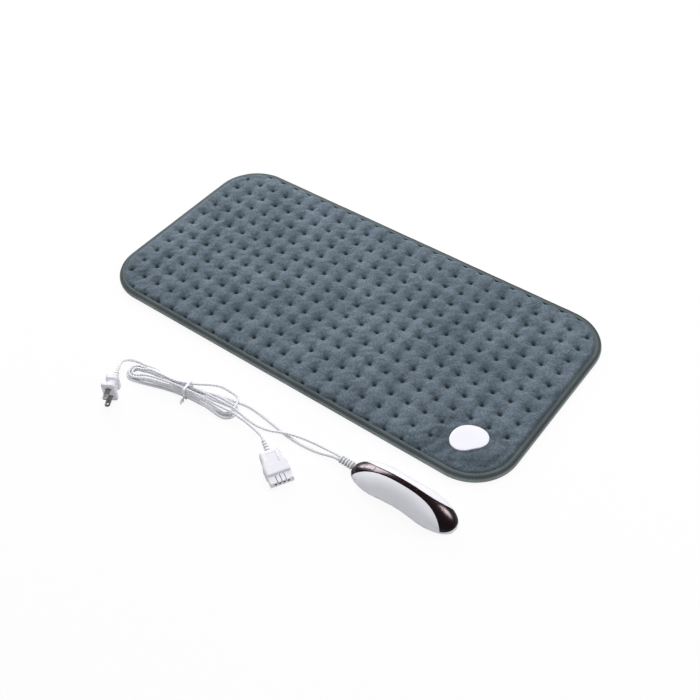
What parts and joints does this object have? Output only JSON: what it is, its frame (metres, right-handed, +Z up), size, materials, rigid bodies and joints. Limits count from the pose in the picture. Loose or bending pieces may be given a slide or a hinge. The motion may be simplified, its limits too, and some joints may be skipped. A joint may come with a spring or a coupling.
{
  "type": "heating pad with hand controller",
  "caption": "Tufted plush heating pad with a corner socket, and its hand controller with a mains plug lead and a pad lead tied in a hank",
  "frame": {"origin": "the middle of the pad's flat underside, on the floor", "axes": "+X along the pad's long edge towards the end with the socket, +Y from the edge beside the controller to the far long edge, +Z up"},
  "size_m": [0.61, 0.4594, 0.0324],
  "materials": {
    "plush": "short plush pile, matte",
    "binding_tape": "woven tape, matte",
    "felt": "needled felt, matte",
    "wire_sleeve": "satin",
    "white_plastic": "glossy",
    "dark_gloss": "high gloss",
    "black_plastic": "satin",
    "amber_plastic": "satin",
    "clear_pipe": "clear",
    "board_laminate": "satin",
    "cord_plastic": "satin",
    "brass": "plain",
    "steel": "plain",
    "nickel": "plated"
  },
  "bodies": {
    "heating_pad": {"bottom_cover": "plush", "felt_carrier": "felt", "heating_wire": "wire_sleeve", "thermal_cutout": "black_plastic", "top_cover": "plush", "edge_binding": "binding_tape", "socket_base": "white_plastic", "socket_plate": "white_plastic", "socket_pin_1": "brass", "socket_pin_2": "brass", "socket_pin_3": "brass", "socket_pin_4": "brass", "socket_screw_1": "steel", "socket_screw_2": "steel", "controller_base": "white_plastic", "controller_cover": "dark_gloss", "heat_switch": "black_plastic", "power_switch": "black_plastic", "circuit_board": "board_laminate", "light_pipe_1": "clear_pipe", "light_pipe_2": "clear_pipe", "light_pipe_3": "clear_pipe", "light_pipe_4": "clear_pipe", "film_capacitor": "amber_plastic", "triac": "black_plastic", "fuse": "white_plastic", "control_chip": "black_plastic", "controller_screw_1": "steel", "controller_screw_2": "steel", "strain_relief": "cord_plastic", "mains_run": "cord_plastic", "lead_run": "cord_plastic", "lead_tail": "cord_plastic", "mains_tail": "cord_plastic", "mains_hank": "cord_plastic", "lead_hank": "cord_plastic", "cord_tie": "white_plastic", "connector_relief": "cord_plastic", "connector_body": "white_plastic", "connector_contact_1": "brass", "connector_contact_2": "brass", "connector_contact_3": "brass", "connector_contact_4": "brass", "plug_relief": "cord_plastic", "plug_body": "white_plastic", "plug_blade_lower": "nickel", "plug_blade_upper": "nickel"},
    "heat_button": {"heat_key": "dark_gloss", "heat_plunger": "black_plastic"},
    "power_button": {"power_key": "dark_gloss", "power_plunger": "black_plastic"}
  },
  "joints": [
    {"name": "heat_press", "type": "slide", "parent": "heating_pad", "child": "heat_button", "axis": [0, 0, -1], "range_m": [0, 0.0008], "stiffness_N_per_m": 400},
    {"name": "power_press", "type": "slide", "parent": "heating_pad", "child": "power_button", "axis": [0, 0, -1], "range_m": [0, 0.0008], "stiffness_N_per_m": 400}
  ]
}
